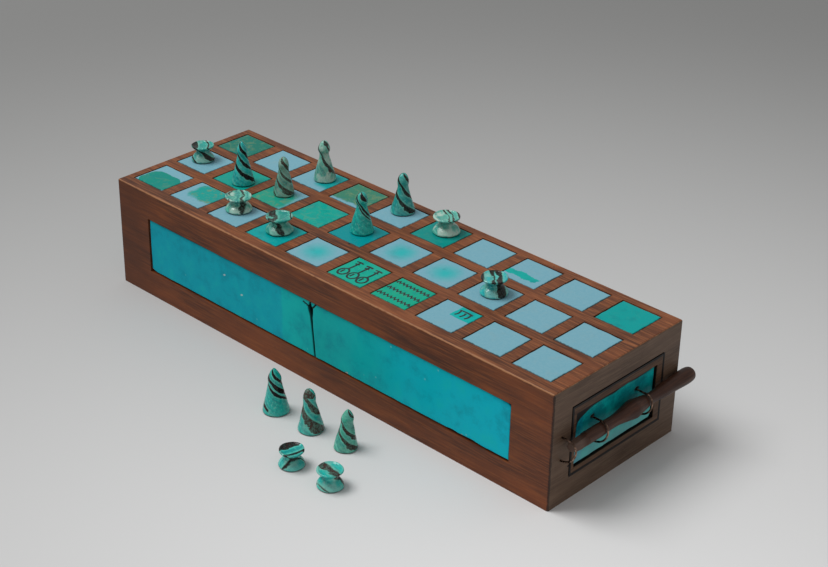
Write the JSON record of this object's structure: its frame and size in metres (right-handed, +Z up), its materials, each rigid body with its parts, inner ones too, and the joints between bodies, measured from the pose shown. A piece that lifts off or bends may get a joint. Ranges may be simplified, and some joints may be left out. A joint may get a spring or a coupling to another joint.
{
  "type": "senet game box",
  "caption": "Long wooden game box with a board of glazed squares on top, a bolted drawer in one end, and glazed cone and spool playing pieces.",
  "frame": {"origin": "centre of the case's underside, on the surface it stands on", "axes": "+X along the box to the drawer end, -Y the near long side with the broken inlay, +Z up"},
  "size_m": [0.2882, 0.1478, 0.0794],
  "materials": {
    "case_wood": "oiled hardwood, worn arrises",
    "plain_wood": "planed, unfinished",
    "bolt_wood": "turned and polished",
    "tile_glaze": "glazed, satin to gloss",
    "inlay_glaze": "glazed, gloss",
    "piece_glaze": "glazed, gloss, dark bands",
    "staple_wire": "dulled copper alloy wire"
  },
  "bodies": {
    "case": {"top_board": "case_wood", "near_side_board": "case_wood", "far_side_board": "case_wood", "closed_end_board": "case_wood", "drawer_end_frame": "case_wood", "bottom_board": "plain_wood", "base_pegs": "plain_wood", "near_drawer_runner": "plain_wood", "far_drawer_runner": "plain_wood", "drawer_stop": "plain_wood", "near_row_tiles": "tile_glaze", "middle_row_tiles": "tile_glaze", "far_row_tiles": "tile_glaze", "house_of_beauty_tile": "tile_glaze", "house_of_water_tile": "tile_glaze", "house_of_three_tile": "tile_glaze", "house_of_two_tile": "tile_glaze", "house_of_one_tile": "tile_glaze", "near_inlay_closed_half": "inlay_glaze", "near_inlay_drawer_half": "inlay_glaze", "far_inlay_closed_half": "inlay_glaze", "far_inlay_drawer_half": "inlay_glaze", "closed_end_inlay": "inlay_glaze", "keeper_staple": "staple_wire"},
    "drawer": {"drawer_front": "case_wood", "drawer_front_inlay": "inlay_glaze", "drawer_near_side": "plain_wood", "drawer_far_side": "plain_wood", "drawer_floor": "plain_wood", "drawer_back": "plain_wood", "near_bolt_staple": "staple_wire", "far_bolt_staple": "staple_wire"},
    "bolt": {"bolt": "bolt_wood"},
    "cone_1": {"cone_1": "piece_glaze"},
    "cone_2": {"cone_2": "piece_glaze"},
    "cone_3": {"cone_3": "piece_glaze"},
    "cone_4": {"cone_4": "piece_glaze"},
    "cone_5": {"cone_5": "piece_glaze"},
    "cone_6": {"cone_6": "piece_glaze"},
    "cone_7": {"cone_7": "piece_glaze"},
    "cone_8": {"cone_8": "piece_glaze"},
    "spool_1": {"spool_1": "piece_glaze"},
    "spool_2": {"spool_2": "piece_glaze"},
    "spool_3": {"spool_3": "piece_glaze"},
    "spool_4": {"spool_4": "piece_glaze"},
    "spool_5": {"spool_5": "piece_glaze"},
    "spool_6": {"spool_6": "piece_glaze"},
    "spool_7": {"spool_7": "piece_glaze"}
  },
  "joints": [
    {"name": "drawer_slide", "type": "slide", "parent": "case", "child": "drawer", "axis": [1, 0, 0], "range_m": [0, 0.145]},
    {"name": "bolt_slide", "type": "slide", "parent": "drawer", "child": "bolt", "axis": [0, 1, 0], "range_m": [-0.008, 0]},
    {"name": "cone_1_lift", "type": "slide", "parent": "case", "child": "cone_1", "axis": [0, 0, 1], "range_m": [0, 0.04]},
    {"name": "cone_2_lift", "type": "slide", "parent": "case", "child": "cone_2", "axis": [0, 0, 1], "range_m": [0, 0.04]},
    {"name": "cone_3_lift", "type": "slide", "parent": "case", "child": "cone_3", "axis": [0, 0, 1], "range_m": [0, 0.04]},
    {"name": "cone_4_lift", "type": "slide", "parent": "case", "child": "cone_4", "axis": [0, 0, 1], "range_m": [0, 0.04]},
    {"name": "cone_5_lift", "type": "slide", "parent": "case", "child": "cone_5", "axis": [0, 0, 1], "range_m": [0, 0.04]},
    {"name": "cone_6_lift", "type": "slide", "parent": "case", "child": "cone_6", "axis": [0, 0, 1], "range_m": [0, 0.04]},
    {"name": "cone_7_lift", "type": "slide", "parent": "case", "child": "cone_7", "axis": [0, 0, 1], "range_m": [0, 0.04]},
    {"name": "cone_8_lift", "type": "slide", "parent": "case", "child": "cone_8", "axis": [0, 0, 1], "range_m": [0, 0.04]},
    {"name": "spool_1_lift", "type": "slide", "parent": "case", "child": "spool_1", "axis": [0, 0, 1], "range_m": [0, 0.04]},
    {"name": "spool_2_lift", "type": "slide", "parent": "case", "child": "spool_2", "axis": [0, 0, 1], "range_m": [0, 0.04]},
    {"name": "spool_3_lift", "type": "slide", "parent": "case", "child": "spool_3", "axis": [0, 0, 1], "range_m": [0, 0.04]},
    {"name": "spool_4_lift", "type": "slide", "parent": "case", "child": "spool_4", "axis": [0, 0, 1], "range_m": [0, 0.04]},
    {"name": "spool_5_lift", "type": "slide", "parent": "case", "child": "spool_5", "axis": [0, 0, 1], "range_m": [0, 0.04]},
    {"name": "spool_6_lift", "type": "slide", "parent": "case", "child": "spool_6", "axis": [0, 0, 1], "range_m": [0, 0.04]},
    {"name": "spool_7_lift", "type": "slide", "parent": "case", "child": "spool_7", "axis": [0, 0, 1], "range_m": [0, 0.04]}
  ]
}
